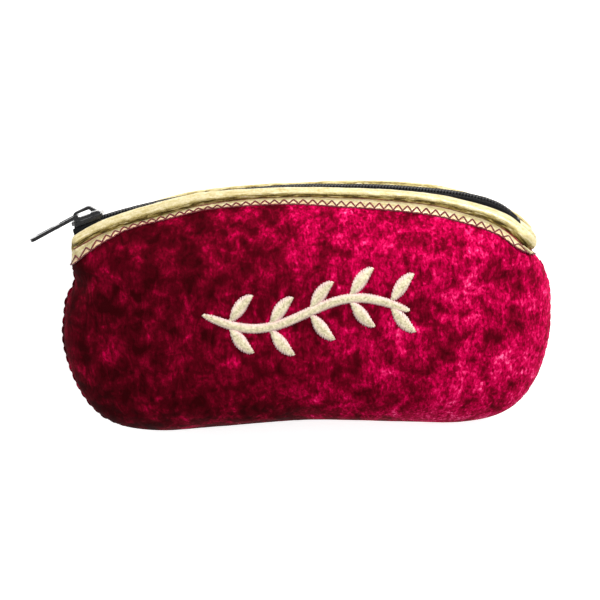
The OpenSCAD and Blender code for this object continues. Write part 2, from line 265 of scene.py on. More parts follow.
def velvet_look():
    """Crushed pile, mottled at random, with painted light: its colour is darker towards -X and brighter
    towards +X.
    """
    look = Look("crushed_velvet", Roughness=0.9, Specular_IOR_Level=0.03)
    flat = look.coords()
    patches = look.noise(flat, 0.03, 2, 0.5, 0.8)
    crush = look.noise(flat, 0.12, 4, 0.55, 0.6)
    streaks = look.noise(look.coords((1, 0.35, 1)), 0.3, 4, 0.6, 1.2)
    blots = look.noise(flat, 0.17, 2, 0.4, 0.3)
    pile = look.noise(look.coords((1, 0.6, 1)), 0.85, 3, 0.6, 0.5)
    # painted light: the colour brightens steadily from left to right, between two limits
    painted_light = look.total((look.part(look.rest, "X"), PAINTED_LIGHT_SLOPE), start=PAINTED_LIGHT_START)
    painted_light = look.math("MINIMUM", look.math("MAXIMUM", painted_light, PAINTED_LIGHT_RANGE[0]), PAINTED_LIGHT_RANGE[1])
    dark = look.ramp(blots, [(0.28, 1.0), (0.46, 0.0)])
    bright = look.total((patches, 0.5), (crush, 0.75), (streaks, 0.4), (dark, -0.11), start=painted_light)
    bright = look.math("SUBTRACT", bright, 0.34)
    fleck = look.math("SUBTRACT", pile, 0.48)
    sparkle = look.math("MULTIPLY", fleck, look.total((bright, 1.9), start=-0.5))
    total = look.total((sparkle, 1.3), start=bright)
    look.colour(look.ramp(total, [(0.2, "#2e0004"), (0.34, "#49000d"), (0.46, "#6c001b"),
                                  (0.56, "#95002f"), (0.66, "#ba0043"), (0.78, "#d81f61"),
                                  (0.95, "#ee6898")]))
    look.bump(look.total((pile, 0.25), (crush, 1.0)), 1.5, 0.35)
    look.link(look.ramp(pile, [(0.3, 0.95), (0.7, 0.8)]), look.shader.inputs["Roughness"])
    return look.material


def gold_look():
    """Metallic leatherette. grain's X runs along it. Its Z, from 0 to 1, is painted shade on a roll's
    underside, between the rolls and in the groove under the roll; from 0 to -1 it is painted red light from
    the velvet."""
    look = Look("gold_leatherette", Metallic=0.35, Roughness=0.4, Specular_IOR_Level=0.4)
    along = look.coords((0.2, 1, 0), "grain")
    streaks = look.noise(along, 0.8, 4, 0.65, 0.6)
    flecks = look.noise(look.coords(), 1.0, 4, 0.7)
    shade_and_red_light = look.part(look.kept("grain"), "Z")
    total = look.total((streaks, 0.6), (flecks, 0.4))
    # painted shade: where grain's Z is above 0 the colour goes darker and browner, in streaks
    depth = look.math("MAXIMUM", shade_and_red_light, 0.0)
    shade_streaks = look.math("MULTIPLY", look.math("SUBTRACT", streaks, 0.5), depth)
    shaded_tone = look.total((depth, -0.34), (shade_streaks, 1.8), start=total)
    gilt = look.ramp(shaded_tone, [(0.0, "#3c2f10"), (0.18, "#78642e"), (0.3, "#a08f50"),
                            (0.42, "#bcac77"), (0.55, "#d2c59c"), (0.75, "#e9e1c6")])
    # painted red light from the velvet: where grain's Z is below 0 the colour goes pink
    painted_red_light = look.math("MAXIMUM", look.math("MULTIPLY", shade_and_red_light, -0.22), 0.0)
    look.colour(look.towards(gilt, "#ffb49c", painted_red_light))
    look.bump(total, 0.5, 0.5)
    look.link(look.ramp(flecks, [(0.35, 0.5), (0.65, 0.36)]), look.shader.inputs["Roughness"])
    return look.material


def thread_look(name, dark, light):
    """Twisted thread: grain's X runs along it and its Y is the angle round it, in turns."""
    look = Look(name, Roughness=0.5, Specular_IOR_Level=0.4, Sheen_Weight=0.2)
    twist = look.wave(look.coords(name="grain"), 1.6, "DIAGONAL")
    fleck = look.noise(look.coords(), 0.8, 3, 0.6)
    total = look.total((fleck, 0.9), (twist, 0.3))
    look.colour(look.ramp(total, [(0.3, dark), (0.75, light)]))
    look.bump(twist, 0.12, 0.6)
    return look.material


def satin_look():
    """Satin stitches: grain's Z is 1 at the ends of each stitch, where the light goes pink."""
    look = Look("satin_thread", Roughness=0.45, Specular_IOR_Level=0.35, Sheen_Weight=0.15,
                Sheen_Tint=rgb("#ffd9e6"))
    fleck = look.noise(look.coords(), 0.95, 5, 0.8)
    fine = look.noise(look.coords((0.1, 1, 0), "grain"), 3.0, 2)
    total = look.total((fleck, 0.75), (fine, 0.3))
    body = look.ramp(total, [(0.36, "#77724e"), (0.44, "#a8a07a"), (0.52, "#cfc6a2"),
                             (0.6, "#e6dcc0"), (0.72, "#f7ecd8")])
    ends = look.math("MULTIPLY", look.part(look.kept("grain"), "Z"), 0.9)
    look.colour(look.towards(body, "#f1cbd0", ends))
    look.bump(fine, 0.08, 0.5)
    return look.material


def tape_look():
    """Woven tape: grain's X runs along it and its Y across."""
    look = Look("woven_tape", Roughness=0.9, Specular_IOR_Level=0.1)
    ribs = look.wave(look.coords(name="grain"), 1.1, "X")
    cross = look.wave(look.coords(name="grain"), 1.6, "Y")
    weave = look.total((cross, 0.4), (ribs, 0.6))
    look.colour(look.ramp(weave, [(0.2, "#050506"), (0.8, "#161618")]))
    look.bump(weave, 0.2, 0.7)
    return look.material


def coil_look():
    look = Look("coil_nylon", Roughness=0.4, Specular_IOR_Level=0.3)
    haze = look.noise(look.coords(), 1.5, 3)
    look.colour(look.ramp(haze, [(0.3, "#050507"), (0.7, "#121216")]))
    look.bump(haze, 0.05, 0.4)
    return look.material


def enamel_look():
    look = Look("black_enamel", Metallic=0.35, Roughness=0.25, Coat_Weight=0.6, Coat_Roughness=0.12)
    wear = look.noise(look.coords(), 0.9, 4, 0.65)
    look.colour(look.ramp(wear, [(0.35, "#060608"), (0.62, "#151518"), (0.8, "#37373c")]))
    look.bump(look.noise(look.coords(), 2.5, 3), 0.05, 0.4)
    look.link(look.ramp(wear, [(0.3, 0.2), (0.75, 0.42)]), look.shader.inputs["Roughness"])
    return look.material


def lining_look():
    look = Look("lining_satin", Roughness=0.45, Specular_IOR_Level=0.45, Sheen_Weight=0.3)
    weave = look.wave(look.coords(), 1.2, "X")
    soft = look.noise(look.coords(), 0.08, 3)
    total = look.total((weave, 0.15), start=soft)
    look.colour(look.ramp(total, [(0.3, "#3a0812"), (0.8, "#6d1426")]))
    look.bump(total, 0.3, 0.5)
    return look.material


def plain_look(name, dark, light, scale):
    look = Look(name, Roughness=0.9, Sheen_Weight=0.2)
    fluff = look.noise(look.coords(), scale, 5, 0.7)
    look.colour(look.ramp(fluff, [(0.3, dark), (0.7, light)]))
    look.bump(fluff, 0.4, 0.6)
    return look.material


# ---------------- shapes along the mouth
def smooth(t):
    t = np.clip(t, 0, 1)
    return t * t * (3 - 2 * t)


def eased(pairs, blur):
    """A curve through given (x, value) pairs, softened over blur mm, as a function of x."""
    step = 0.5
    xs = np.arange(-130, 130 + step, step)
    ys = np.interp(xs, *zip(*pairs))
    kernel = np.hanning(int(2 * blur / step) + 1)
    kernel /= kernel.sum()
    pad = len(kernel) // 2
    ys = np.convolve(np.pad(ys, pad, mode="edge"), kernel, mode="valid")
    return lambda x: np.interp(x, xs, ys)


# How far each soft edge stands off its arc, up (+) or down (-), from the left end to the right
front_roll_lift = eased([
    (-104, -4.6), (-99, -3.2), (-95, -1.7), (-91, -0.8), (-87, 0), (-78, 0.5), (-69, 0.7),
    (-60, 1.0), (-51, 1.4), (-43, 1.8), (-30, 1.4), (-22, 1.0), (-3, 0.4), (16, 0), (37, 0.3),
    (50, 0.6), (59, 0.6), (68, 0), (77, -0.6), (85, -2.3), (88, -3.8), (91, -5.6), (94.5, -8.3),
    (98, -11.1), (104, -16)], 4)
back_roll_lift = eased([
    (-104, -5), (-99, -4.6), (-93, -3.4), (-80, -2.5), (-64, -1.9), (-50, -1.1), (-21, -1.9),
    (0, -2.3), (21, -1.3), (41, -0.2), (55, 0.4), (66, 0.1), (76, -1.1), (85, -2.2), (93, -4.6),
    (98, -8.8), (104, -13)], 6)
trim_lift = eased([
    (-104, 0), (-96, -1.2), (-90, -0.6), (-83, 0.3), (-74, 0.8), (-60, 0.9), (-40, 0.5), (0, 0),
    (40, -0.5), (77, -1), (85, -1.8), (88, -2.8), (92, -4.2), (98, -4.2), (104, -5)], 4)
chain_lift = eased([
    (-104, 0), (-88, 0), (-80, -0.1), (-60, -0.5), (-43, -1.1), (-22, -1.7), (-3, -1.6), (16, -1.6),
    (37, -0.7), (50, -0.1), (59, 0.5), (68, 1), (78, 0.9), (84, 0), (87, -1.2), (89, -2.2),
    (92, -4.2), (104, -12)], 3)
# Radius of the front roll, and of the arc that the band's lower edge follows
front_roll_size = eased([
    (-104, 2.5), (-92, 2.5), (-84, 2.7), (-69, 2.9), (-50, 2.9), (-36, 2.5), (-20, 2.2), (20, 2.2),
    (38, 2.35), (59, 2.5), (77, 2.8), (86, 3.2), (104, 3.2)], 6)
edge_radius = eased([
    (-104, 286.8), (-100, 288), (-95, 290), (-91.5, 291), (-88, 292.2), (-78, 294.2), (-69, 294.6),
    (-60, 294.5), (-43, 295), (-22, 294.4), (-3, 293.8), (16, 292.8), (37, 292.6), (50, 292.7),
    (59, 292.6), (68, 292), (77, 291.5), (85, 290.4), (91, 287.9), (95, 286.5), (99, 285.9),
    (104, 285.3)], 4)


def on_arc(a, r):
    """x and y of a point at angle a and radius r about the centre of the chain's circle."""
    a = np.radians(a)
    return ARC_X - r * np.sin(a), ARC_Y + r * np.cos(a)


def catmull_loop(points, steps):
    """A closed smooth curve through the points, with steps places between each two."""
    p = np.array(points, float)
    a, b, c, d = np.roll(p, 1, 0), p, np.roll(p, -1, 0), np.roll(p, -2, 0)
    u = (np.arange(steps) / steps)[None, :, None]
    a, b, c, d = (v[:, None, :] for v in (a, b, c, d))
    curve = 0.5 * (2 * b + (c - a) * u + (2 * a - 5 * b + 4 * c - d) * u ** 2
                   + (3 * b - a - 3 * c + d) * u ** 3)
    return curve.reshape(-1, p.shape[1])


def outline_points():
    """x, y and share of the mouth round the side seam, from the middle of the bottom."""
    bottom = (0, -BOTTOM_NOTCH * POUCH_DROP, 0)
    right = [(x * POUCH_W / 2, y * POUCH_DROP, h) for x, y, h in SIDE_SHAPE]
    rim = [on_arc(RIM_ANGLE * (2 * k / 12 - 1), RIM_R) + (1,) for k in range(13)]
    left = [(-x, y, h) for x, y, h in right[::-1]]
    return [bottom] + right + rim + left


OUTLINE = catmull_loop(outline_points(), 24)
EDGE_ANGLE = np.arctan2(OUTLINE[:, 1] - MIDDLE_Y, OUTLINE[:, 0])
EDGE_REACH = np.hypot(OUTLINE[:, 0], OUTLINE[:, 1] - MIDDLE_Y)
EDGE_MOUTH = np.clip(OUTLINE[:, 2], 0, 1)


def edge_at(x, y):
    """Share of the way from the middle to the side seam, and how much of the mouth is there."""
    angle = np.arctan2(y - MIDDLE_Y, x)
    reach = np.interp(angle, EDGE_ANGLE, EDGE_REACH, period=2 * np.pi)
    mouth = np.interp(angle, EDGE_ANGLE, EDGE_MOUTH, period=2 * np.pi)
    return np.hypot(x, y - MIDDLE_Y) / reach, mouth


def rise(rho, mouth, depth, inset):
    """Height over the seam plane of a layer that lies inset mm under the velvet's face."""
    low = mouth * MOUTH_HALF
    bulge = np.sqrt(np.maximum(0, 1 - np.clip(rho, 0, 1) ** BULGE_POWER))
    return HALF_GAP + low + (depth - HALF_GAP - inset - low) * bulge


def flattened(height, limit):
    """height, held softly below limit, where the bag lies on something flat."""
    return 0.5 * (height + limit - np.sqrt((height - limit) ** 2 + FLAT_SOFT ** 2))


def layer_z(rho, mouth, side, inset=0.0):
    if side > 0:
        return SEAM_Z + rise(rho, mouth, FRONT_DEPTH, inset)
    return SEAM_Z - flattened(rise(rho, mouth, BACK_DEPTH, inset), SEAM_Z - inset)


def rim_distance(x, y):
    return RIM_R - np.hypot(x - ARC_X, y - ARC_Y)


PULL_REACH = 30.0       # how far below the rim the velvet follows the trims
CORNER_DIP = 2.2        # how far the seam holds it down at the ends of the mouth
BACK_PULL = 0.6         # the share of the back roll's lift that the back velvet follows
LOWER_WIDENING = 0.017  # how much wider the filling makes its lower half
SOFT_SEAM = 8.0         # how high over the seam plane it moves in full


def near_rim(from_rim):
    return smooth(1 - from_rim / PULL_REACH)


def held_down(x, z, from_rim):
    """z of the velvet after the seam has pulled it down at the ends of the mouth."""
    dip = CORNER_DIP * smooth((np.abs(x) - 80) / 10) * smooth(1 - from_rim / 9)
    return z - np.clip((z - SEAM_Z) / SOFT_SEAM, -1, 1) * dip


def settled(points):
    """Cloth, moved to where the trims pull it and the filling pushes it."""
    x, y, z = np.moveaxis(np.asarray(points, float), -1, 0)
    from_rim = rim_distance(x, y)
    z = held_down(x, z, from_rim)
    front = smooth((z - SEAM_Z + 6) / 12)
    lift = trim_lift(x) * front + back_roll_lift(x) * (1 - front) * BACK_PULL
    y = y + near_rim(from_rim) * lift
    x = x * (1 + LOWER_WIDENING * smooth((14 - y) / 34))
    left, right = smooth((-x - 88) / 12), smooth((x - 85) / 15)
    # Where the side seam is pushed along X: the side, how far, at which y, and over what reach
    for share, push, place, reach in ((left, 3.1, 15.8, 6.2), (left, 0.8, 3, 7),
                                      (right, 1.3, 12, 10), (right, -1.2, 25, 5)):
        x = x + share * push * np.exp(-((y - place) / reach) ** 2)
    return np.stack([x, y, z], -1)


def cloth_z(x, y, side):
    """Height of the settled velvet near the mouth."""
    from_rim = rim_distance(x, y)
    lift = trim_lift(x) if side > 0 else BACK_PULL * back_roll_lift(x)
    z = layer_z(*edge_at(x, y - near_rim(from_rim) * lift), side)
    return held_down(x, z, from_rim)


# ---------------- meshes
HASH = np.array([374761393, 668265263, 2147483647])
MIXER = 1274126177


def value_noise(p, scale, seed):
    """Smooth noise from -1 to 1 at points p, with features 1 / scale mm wide."""
    q = p * scale + seed * 17.31
    cell = np.floor(q).astype(np.int64)
    f = q - cell
    f = f * f * (3 - 2 * f)
    total = np.zeros(q.shape[:-1])
    for corner in range(8):
        bits = np.array([(corner >> k) & 1 for k in range(3)])
        h = (((cell + bits) * HASH).sum(axis=-1) + seed * MIXER) & 0xFFFFFFFF
        h = ((h ^ (h >> 13)) * MIXER) & 0xFFFFFFFF
        h = (h ^ (h >> 16)) & 0xFFFF
        weight = np.prod(np.where(bits, f, 1 - f), axis=-1)
        total += weight * (h / 32767.5 - 1)
    return total


def make(name, points, faces, look, grain=None, *, slot):
    """A mesh object from points in mm, with its resting place and its grain kept for the looks."""
    points = np.asarray(points, float).reshape(-1, 3)
    mesh = bpy.data.meshes.new(name)
    mesh.from_pydata((points * MM).tolist(), [], faces)
    mesh.validate()
    rest = mesh.attributes.new("rest", "FLOAT_VECTOR", "POINT")
    rest.data.foreach_set("vector", points.astype(np.float32).ravel())
    if grain is not None:
        kept = mesh.attributes.new("grain", "FLOAT_VECTOR", "POINT")
        kept.data.foreach_set("vector", np.asarray(grain, np.float32).reshape(-1, 3).ravel())
    mesh.shade_smooth()
    mesh.materials.append(look)
    obj = bpy.data.objects.new(name, mesh)
    bpy.context.collection.objects.link(obj)
    return obj


def grid_faces(rows, cols, closed=False):
    """Four-sided faces between rows of points. Each row is a ring if closed."""
    i = np.arange(rows - 1)[:, None]
    j = np.arange(cols if closed else cols - 1)[None, :]
    j2 = (j + 1) % cols
    corners = (i * cols + j, i * cols + j2, (i + 1) * cols + j2, (i + 1) * cols + j)
    return np.stack(corners, -1).reshape(-1, 4).tolist()


def ring_faces(rows, sides):
    """The faces of a tube, with a cap at each end."""
    last = (rows - 1) * sides
    return grid_faces(rows, sides, closed=True) + [list(range(sides))[::-1],
                                                   list(range(last, last + sides))]


def unit(vectors):
    return vectors / np.linalg.norm(vectors, axis=-1, keepdims=True)


def directions(path):
    return unit(np.gradient(path, axis=0))


def lengths(path):
    return np.concatenate([[0], np.cumsum(np.linalg.norm(np.diff(path, axis=0), axis=1))])


def tube(path, radius, sides=10, up=(0, 0, 1), flatten=1.0):
    """Points, faces and grain of a round tube. Its first side is as near up as it can be.

    radius is a number, or an array of rings by sides. flatten scales its height."""
    ahead = directions(path)
    side_b = unit(np.cross(ahead, np.broadcast_to(np.asarray(up, float), path.shape)))
    side_a = np.cross(side_b, ahead)
    turn = np.arange(sides) / sides
    ring = np.stack([np.cos(turn * 2 * np.pi), np.sin(turn * 2 * np.pi)], -1)
    r = np.broadcast_to(np.asarray(radius, float), (len(path), sides))[..., None]
    points = path[:, None, :] + r * (flatten * ring[None, :, :1] * side_a[:, None, :]
                                     + ring[None, :, 1:] * side_b[:, None, :])
    n = len(path)
    s = np.broadcast_to(lengths(path)[:, None], (n, sides))
    grain = np.stack([s, np.broadcast_to(turn, (n, sides)), np.zeros((n, sides))], -1)
    return points.reshape(-1, 3), ring_faces(n, sides), grain.reshape(-1, 3)


def joined(parts):
    """Points, faces and grain of several shapes as one."""
    points, faces, grain, base = [], [], [], 0
    for p, f, g in parts:
        points.append(p)
        grain.append(g)
        faces += [[base + k for k in face] for face in f]
        base += len(p)
    return np.concatenate(points), faces, np.concatenate(grain)


OPEN_FROM, OPEN_TO = 99.0, 22.0   # the mouth opens from nothing at this |x| to fully at that |x|


def bend(obj):
    """The front half's cloth: fixed at both side seams and open in the middle."""
    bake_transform(obj, "back_half", "front_half", start=(OPEN_FROM * MM, 0, 0), end=(OPEN_TO * MM, 0, 0))
    x = np.empty(len(obj.data.vertices) * 3)
    obj.data.vertices.foreach_get("co", x)
    share = smooth((OPEN_FROM - np.abs(x[0::3]) / MM) / (OPEN_FROM - OPEN_TO))
    obj.data.attributes["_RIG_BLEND"].data.foreach_set("value", share.astype(np.float32))


def attach(obj, node, side):
    """Puts obj in a CAD node's place, to move with the front cloth (1) or the back half (-1)."""
    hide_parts(node)
    if side > 0:
        bend(obj)
    else:
        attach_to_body(obj, "back_half")


# ---------------- the velvet halves
COLUMNS, EDGE_ROWS, FACE_ROWS = 720, 30, 56
TIP_SHARE = 0.012       # the last ring before the point in the middle


def half_rings():
    """Shares of the way out, from the seam to the middle, closest where the face is steep."""
    s = np.linspace(0, 0.8, EDGE_ROWS)
    steep = (1 - s ** 2) ** (1 / BULGE_POWER)
    return np.concatenate([steep, np.linspace(steep[-1], TIP_SHARE, FACE_ROWS + 1)[1:]])


def fewer_rings(every):
    return np.append(half_rings()[::every], TIP_SHARE)


def crumple(points):
    """Small dents of crushed pile, in mm, up or down."""
    flat = points * [1, 1, 0.6]
    warp = np.stack([value_noise(flat, 0.06, 5), value_noise(flat, 0.06, 6),
                     np.zeros(flat.shape[:-1])], -1) * 5
    return (0.42 * value_noise(flat + warp, 0.09, 1) + 0.26 * value_noise(flat + warp, 0.2, 2)
            + 0.15 * value_noise(flat + warp, 0.42, 3) + 0.05 * value_noise(flat, 1.1, 4))


def half_layer(side, inset, columns, rings):
    """Points and faces of one domed layer, its edge in by inset."""
    n = len(OUTLINE)
    k = np.linspace(0, n, columns, endpoint=False)
    xs, ys, mouth = (np.interp(k, np.arange(n), v, period=n)
                     for v in (OUTLINE[:, 0], OUTLINE[:, 1], EDGE_MOUTH))
    shrink = 1 - inset / np.hypot(xs, ys - MIDDLE_Y)
    x = xs * shrink * rings[:, None]
    y = MIDDLE_Y + (ys - MIDDLE_Y) * shrink * rings[:, None]
    rho = np.broadcast_to(rings[:, None], x.shape)
    points = np.stack([x, y, layer_z(rho, mouth, side, inset)], -1)
    middle = points[-1].mean(axis=0)
    tip = len(rings) * columns
    last = tip - columns
    faces = grid_faces(len(rings), columns, closed=True)
    faces += [[last + i, last + (i + 1) % columns, tip] for i in range(columns)]
    if side < 0:
        faces = [f[::-1] for f in faces]
    return np.concatenate([points.reshape(-1, 3), middle[None]]), faces


PRESSURE, STEPS = 4.0, 20
STUFFING_INSET = 1.5    # the simulated bag lies this far in from the velvet's face
VOXEL, MOST_SWELL = 5.0, 3.2


def stuffed():
    """The pouch as one coarse closed bag, blown up by its filling with Blender's cloth.

    Returns a KD tree of its resting points and how far each of them moved in z, in mm."""
    columns, rings = 160, fewer_rings(4)
    front, faces = half_layer(1, STUFFING_INSET, columns, rings)
    back, back_faces = half_layer(-1, STUFFING_INSET, columns, rings)
    n = len(front)
    faces = faces + [[n + k for k in f] for f in back_faces]
    faces += [[(i + 1) % columns, i, n + i, n + (i + 1) % columns] for i in range(columns)]
    mesh = bpy.data.meshes.new("stuffing")
    mesh.from_pydata((np.concatenate([front, back]) * MM).tolist(), [], faces)
    obj = bpy.data.objects.new("stuffing", mesh)
    bpy.context.collection.objects.link(obj)
    remesh = obj.modifiers.new("remesh", "REMESH")
    remesh.mode, remesh.voxel_size = "VOXEL", VOXEL * MM
    coarse = bpy.data.meshes.new_from_object(
        obj.evaluated_get(bpy.context.evaluated_depsgraph_get()))
    obj.modifiers.clear()
    obj.data = coarse
    count = len(coarse.vertices)
    resting = np.empty(count * 3)
    coarse.vertices.foreach_get("co", resting)
    cloth = obj.modifiers.new("cloth", "CLOTH")
    cloth.settings.use_pressure = True
    cloth.settings.uniform_pressure_force = PRESSURE
    cloth.settings.effector_weights.gravity = 0
    scene = bpy.context.scene
    for step in range(STEPS):
        scene.frame_set(step + 1)
    moved = np.empty(count * 3)
    obj.evaluated_get(bpy.context.evaluated_depsgraph_get()).data.vertices.foreach_get("co", moved)
    scene.frame_set(1)
    bpy.data.objects.remove(obj)
    resting = resting.reshape(-1, 3) / MM
    moved = moved.reshape(-1, 3) / MM
    tree = KDTree(count)
    for k, point in enumerate(resting):
        tree.insert(point, k)
    tree.balance()
    return tree, moved[:, 2] - resting[:, 2]


def swell(points, side):
    """How far the filling pushes the velvet out at these points, in mm."""
    if filling is None:
        return np.zeros(points.shape[:-1])
    tree, shift = filling
    flat = points.reshape(-1, 3)
    out = np.empty(len(flat))
    for k, point in enumerate(flat):
        near = tree.find_n(point, 5)
        weights = np.array([1 / (distance + 0.8) ** 2 for _, _, distance in near])
        out[k] = (shift[[index for _, index, _ in near]] * weights).sum() / weights.sum()
    out = np.clip(side * out, 0, MOST_SWELL).reshape(points.shape[:-1])
    rho, _ = edge_at(points[..., 0], points[..., 1])
    from_rim = rim_distance(points[..., 0], points[..., 1])
    return out * smooth((1 - rho) / 0.12) * smooth((from_rim - 4) / 14)


def velvet_half(side, look):
    points, faces = half_layer(side, 0, COLUMNS, half_rings())
    rho, _ = edge_at(points[:, 0], points[:, 1])
    loose = smooth((1 - rho) / 0.09)
    height = crumple(points) * (0.25 + 0.75 * loose) + swell(points, side)
    if side < 0:
        height *= smooth(points[:, 2] / 6)
    points[:, 2] += side * height
    obj = make(NAME[side] + "_velvet", settled(points), faces, look, slot="velvet")
    attach(obj, NAME[side] + "_panel", side)


# ---------------- gold trims
ROLL_LEFT, ROLL_RIGHT = 19.1, 18.98  # angles at which the rolls end
BAND_LEFT, BAND_RIGHT = 20.35, 19.95  # and the lower edges of the bands
TUCK = -0.3  # the band's top edge is hidden in the roll
ROLL_ROUND = 19  # mm round a roll, for its grain
GOLD_THICK, TAPE_THICK = 0.6, 0.5
STITCHES = 49


def roll_line(u, side):
    """x, y and z of the middle of the roll, for u from -1 at its right end to 1 at its left."""
    x, y = on_arc(np.where(u > 0, ROLL_LEFT, ROLL_RIGHT) * u, ROLL_R)
    lift = front_roll_lift(x) if side > 0 else back_roll_lift(x)
    closing = np.where(x < 0, 3.0 * smooth((-x - 96) / 4), 6.6 * smooth((x - 92) / 7))
    return x, y + lift, SEAM_Z + side * (MOUTH_HALF - closing)


def roll_size(x, side):
    return front_roll_size(x) if side > 0 else np.full(np.shape(x), ROLL_THICK)


def band_surface(u, v, side, lift):
    """Points on the band: v is 0 at the groove under the roll and 1 at the band's lower edge."""
    x, y, z = roll_line(u, side)
    step = 0.004
    (x0, y0, _), (x1, y1, _) = roll_line(u - step, side), roll_line(u + step, side)
    along = unit(np.stack([x1 - x0, y1 - y0, 0 * x0], -1))
    size = roll_size(x, side)
    groove = np.stack([x - size * along[..., 1], y + size * along[..., 0],
                       z + side * 0.15 * size], -1)
    groove[..., 0] -= 2.4 * smooth((u - 0.93) / 0.07)   # it runs out past the roll's left end
    spread = smooth((np.abs(u) - 0.86) / 0.14)
    a = u * np.where(u > 0, ROLL_LEFT + (BAND_LEFT - ROLL_LEFT) * spread,
                     ROLL_RIGHT + (BAND_RIGHT - ROLL_RIGHT) * spread)
    ex, ey = on_arc(a, edge_radius(-TRACK_R * np.sin(np.radians(a))))
    edge = np.stack([ex, ey, cloth_z(ex, ey, side)], -1)
    normal = unit(np.cross(along, edge - groove)) * side
    points = groove + (edge - groove) * v[..., None] + normal * lift[..., None]
    velvet_z = cloth_z(points[..., 0], points[..., 1], side)
    over = side * (points[..., 2] - velvet_z)
    least = 0.45 * smooth((v + 0.1) / 0.2)              # how far it clears the velvet
    over = 0.5 * (over + least + np.sqrt((over - least) ** 2 + 0.1))
    points[..., 2] += (velvet_z + side * over - points[..., 2]) * smooth(v / 0.15)
    return points


def zig_share(phase):
    """How far down the band the zig-zag runs: 0 at its peaks and 1 at the velvet's edge."""
    return np.abs((phase % 1) - 0.5) * 2


def zig_height(phase):
    return 0.52 + 0.48 * zig_share(phase)


def band_lift(phase, v):
    """How far the band stands off the velvet: puffed up, and held down along the zig-zag."""
    held = smooth(1 - np.abs(v - zig_height(phase)) / 0.16)
    puff = 0.5 * np.sin(np.pi * np.clip(v, 0, 1)) ** 0.8
    return 0.4 * smooth((v + 0.05) / 0.2) + puff - 0.14 * held


def trim_band(side, look):
    cols, rows = STITCHES * 16 + 1, 25
    u, v = np.meshgrid(np.linspace(-1, 1, cols), np.linspace(TUCK, 1.0, rows))
    phase = (u + 1) / 2 * STITCHES
    reach = v + 0.035 * np.cos(phase * 2 * np.pi) * smooth((v - 0.8) / 0.2)
    points = band_surface(u, reach, side, band_lift(phase, v))
    points += 0.05 * value_noise(points, 0.8, 9)[..., None]
    faces = grid_faces(rows, cols)
    if side < 0:
        faces = [f[::-1] for f in faces]
    # painted red light from the velvet on the band below the zig-zag, and painted shade along the groove
    # under the roll, kept in grain's Z
    painted_red_light = smooth((v - zig_height(phase)) / 0.12) * smooth((v - 0.5) / 0.1)
    shade_and_red_light = 0.6 * smooth((0.14 - v) / 0.14) - painted_red_light
    grain = np.stack([phase * STITCH_PITCH, v * 5, shade_and_red_light], -1)
    obj = make(NAME[side] + "_gold_band", points, faces, look, grain, slot="gold_leatherette")
    thick = obj.modifiers.new("leatherette", "SOLIDIFY")
    thick.thickness, thick.offset = GOLD_THICK * MM, -1
    attach(obj, NAME[side] + "_trim_band", side)


def roll_path(side):
    return np.stack(roll_line(np.linspace(-1, 1, 420), side), -1)


def gold_roll(side, look):
    """The piping: creased, tapered at its ends, with painted shade on its underside, and on the back roll's
    side towards the front roll.
    """
    path = roll_path(side)
    sides = 30
    turn = np.arange(sides) / sides * 2 * np.pi
    s = lengths(path)
    ring = np.stack(np.broadcast_arrays(s[:, None] * 0.55, 6 * np.cos(turn)[None, :],
                                        6 * np.sin(turn)[None, :]), -1)
    creases = (0.1 * value_noise(ring, 0.35, 11) + 0.08 * value_noise(ring, 0.8, 12)
               + 0.05 * value_noise(ring * [2.5, 1, 1], 0.9, 13))
    taper = np.sqrt(np.clip(np.minimum(s, s[-1] - s) / 2.2, 0.02, 1))[:, None]
    size = roll_size(path[:, 0], side)[:, None]
    points, faces, grain = tube(path, (size + creases) * taper, sides)
    grain[:, 1] *= ROLL_ROUND
    # painted shade on the roll's underside, kept in grain's Z
    under = smooth((0.3 - np.sin(turn)) / 0.6) * (1 - 0.45 * smooth((-0.72 - np.sin(turn)) / 0.2))
    grain[:, 2] = np.tile(under, len(path))
    if side < 0:
        # painted shade on the back roll's side that faces the front roll, where it lies between the rolls
        inner = (points - np.repeat(path, sides, axis=0))[:, 2] / np.repeat(size[:, 0], sides)
        grain[:, 2] = np.maximum(grain[:, 2], 0.8 * smooth((inner - 0.2) / 0.6))
    obj = make(NAME[side] + "_gold_roll", points, faces, look, grain, slot="gold_leatherette")
    attach(obj, NAME[side] + "_piping", side)


def filler(side, look):
    path = roll_path(side)[8:-8]
    points, faces, grain = tube(path, 0.65 * roll_size(path[:, 0], side)[:, None], 10)
    obj = make(NAME[side] + "_filler_cord", points, faces, look, grain, slot="filler_cord")
    attach(obj, NAME[side] + "_piping_cord", side)


def groove_seam(side, look):
    """Short straight stitches along the groove."""
    pitch, thread = 2.6, 0.28
    u = np.linspace(-0.99, 0.99, 1400)
    line = band_surface(u, 0.07 + 0 * u, side, 0.6 + 0 * u)
    dips = np.abs(np.sin(np.pi * lengths(line) / pitch))
    points, faces, grain = tube(line, thread * (0.6 + 0.45 * dips)[:, None] ** 0.5, 6)
    obj = make(NAME[side] + "_groove_seam", points, faces, look, grain, slot="seam_thread")
    attach(obj, NAME[side] + "_piping_seam", side)


def zigzag(side, look):
    """The zig-zag thread, and the thread that runs along the band's lower edge."""
    steps, zig_thread, edge_thread = 12, 0.33, 0.3
    phase = np.linspace(0, STITCHES, STITCHES * 2 * steps + 1)
    u = phase / STITCHES * 2 - 1
    v = zig_height(phase)
    bow = np.sin(np.pi * ((phase * 2) % 1))
    line = band_surface(u, v, side, band_lift(phase, v) + 0.14 + 0.1 * bow)
    edge = band_surface(u, 1.03 + 0 * u, side, 0.25 + 0.08 * np.cos(phase * 4 * np.pi))
    points, faces, grain = joined([tube(line, zig_thread, 6), tube(edge, edge_thread, 6)])
    obj = make(NAME[side] + "_zigzag_thread", points, faces, look, grain, slot="seam_thread")
    attach(obj, NAME[side] + "_zigzag_stitch", side)


